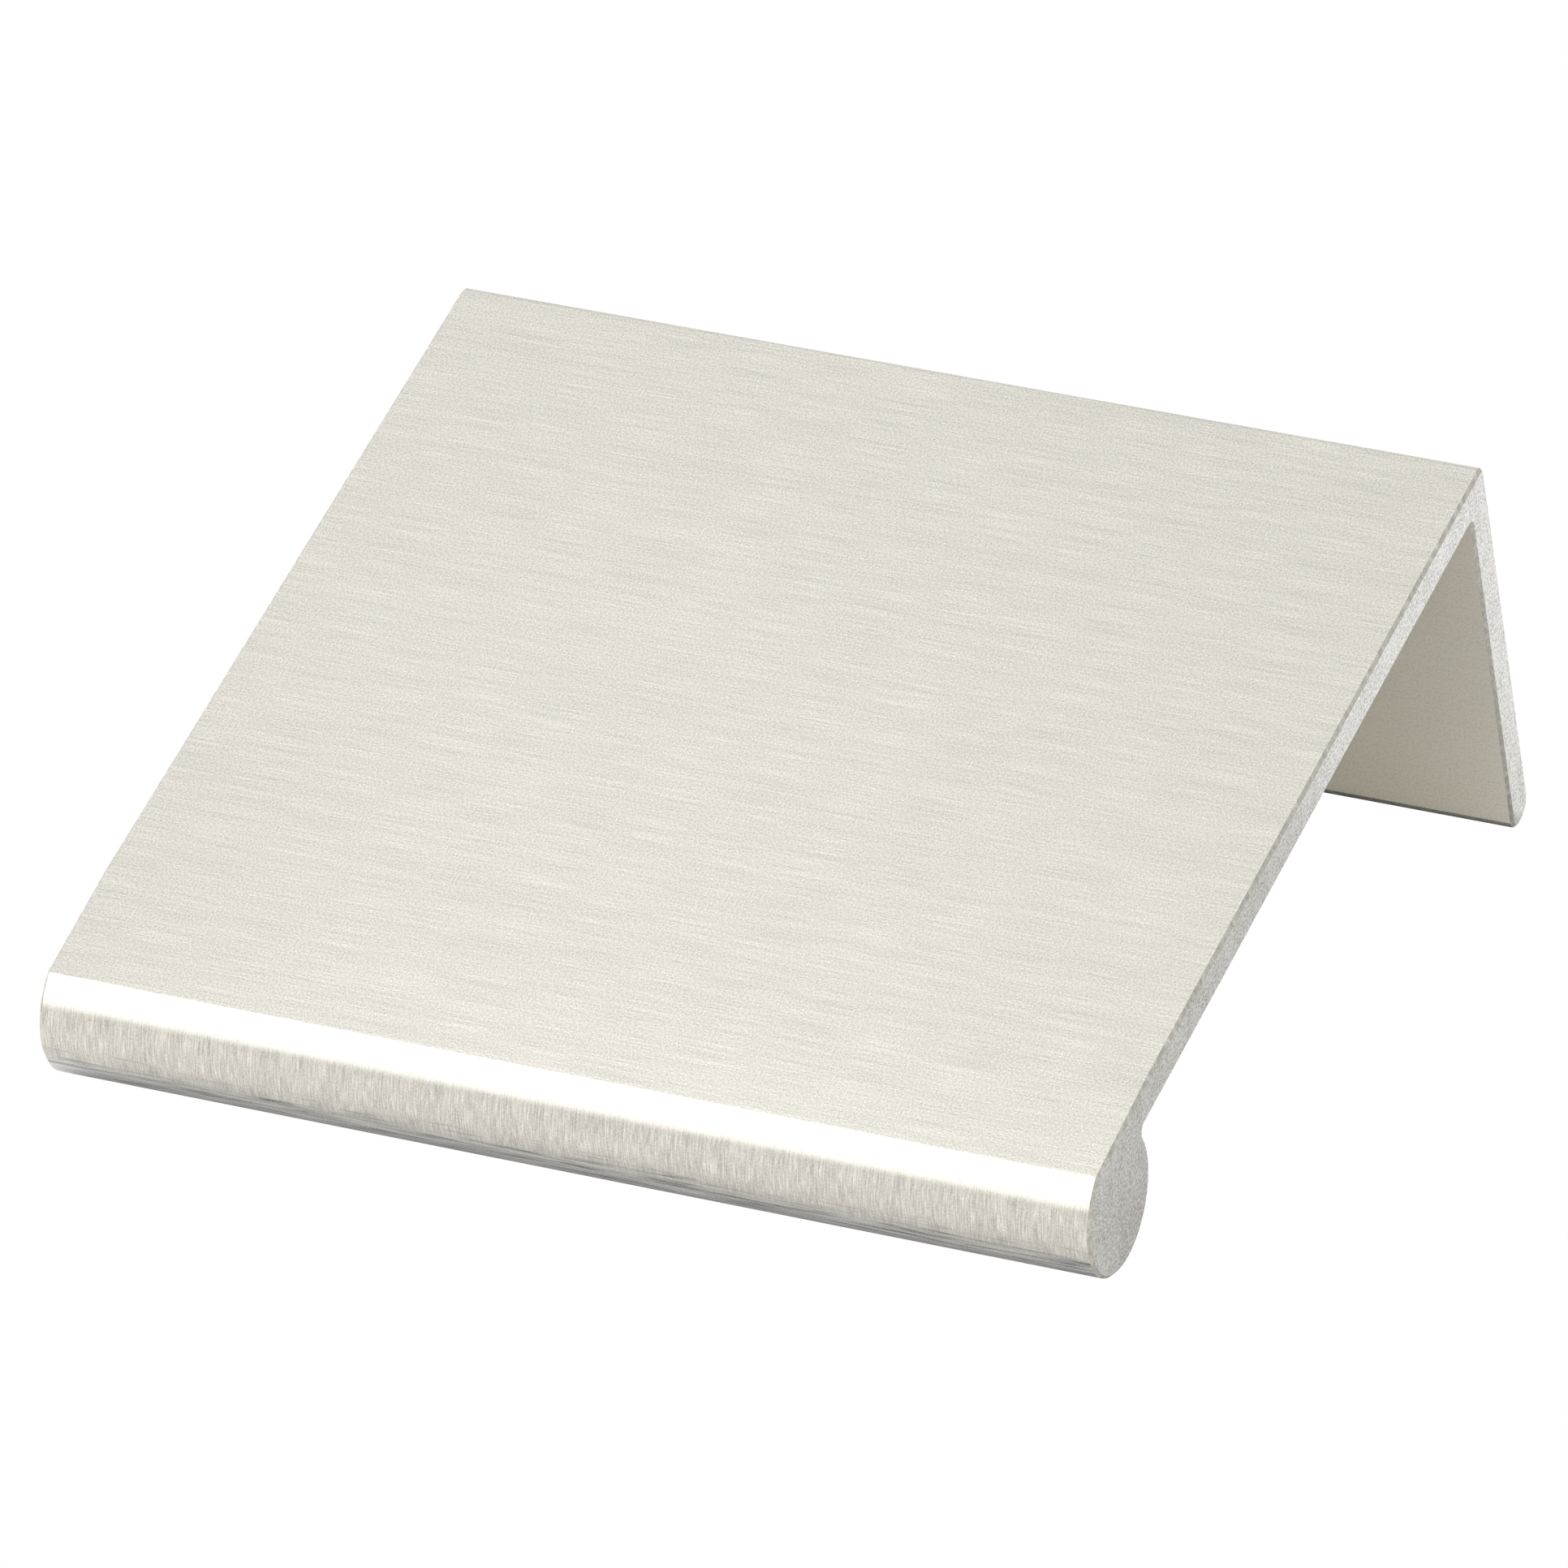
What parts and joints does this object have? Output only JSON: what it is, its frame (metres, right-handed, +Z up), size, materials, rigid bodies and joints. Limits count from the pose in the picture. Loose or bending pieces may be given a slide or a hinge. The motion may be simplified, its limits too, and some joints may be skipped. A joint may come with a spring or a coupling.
{
  "type": "tab pull",
  "caption": "Edge tab pull of extruded section: flat plate with a round lip bead in front and a flange turned down behind, screwed to the back of a drawer front or door.",
  "frame": {"origin": "midway between the screw holes, on the front face of the flange, which bears on the back of the panel", "axes": "+X along the length of the section, +Y from the front face of the flange to its back, where the screws enter, +Z up from the flange's foot to the plate"},
  "size_m": [0.04, 0.0387, 0.0166],
  "materials": {
    "brushed_nickel": "warm light grey with a satin sheen, brushed along the length on top and round the front of the bead, fine sawn grain on the ends"
  },
  "bodies": {
    "root": {"tab_pull": "brushed_nickel"}
  },
  "joints": []
}
